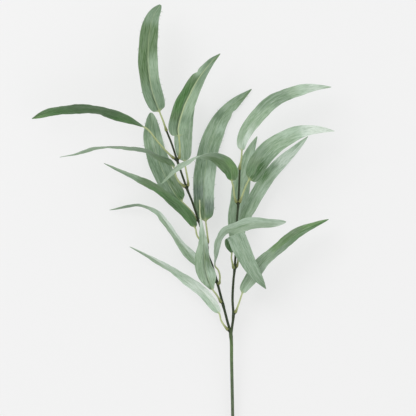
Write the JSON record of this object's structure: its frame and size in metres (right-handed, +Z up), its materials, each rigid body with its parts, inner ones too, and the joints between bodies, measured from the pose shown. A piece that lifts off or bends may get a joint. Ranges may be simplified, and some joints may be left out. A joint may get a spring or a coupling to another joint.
{
  "type": "willow branch",
  "caption": "Leafy willow branch lying flat: a straight woody stem forks into two thin twigs that carry long, narrow, gently curved leaves on short petioles.",
  "frame": {"origin": "middle of the branch's box, on the surface that it lies on", "axes": "+Y from the cut end to the leaf tips, +X to the right as seen from above, +Z up from the surface"},
  "size_m": [0.3785, 0.6004, 0.0978],
  "materials": {
    "stem": "dark olive bark, matt",
    "leaf_deep": "matt deep green, fine streaks along the blade",
    "leaf_sage": "matt sage green with a frosted bloom",
    "leaf_pale": "matt pale grey-green with a frosted bloom"
  },
  "bodies": {
    "root": {"stem": "stem", "leaf_left_01": "leaf_pale", "leaf_left_02": "leaf_sage", "leaf_left_03": "leaf_pale", "leaf_left_04": "leaf_sage", "leaf_left_05": "leaf_sage", "leaf_left_06": "leaf_deep", "leaf_left_07": "leaf_sage", "leaf_left_08": "leaf_deep", "leaf_left_09": "leaf_pale", "leaf_left_10": "leaf_deep", "leaf_left_11": "leaf_deep", "leaf_left_12": "leaf_sage", "leaf_right_01": "leaf_sage", "leaf_right_02": "leaf_pale", "leaf_right_03": "leaf_sage", "leaf_right_04": "leaf_sage", "leaf_right_05": "leaf_pale", "leaf_right_06": "leaf_deep", "leaf_right_07": "leaf_sage"}
  },
  "joints": []
}
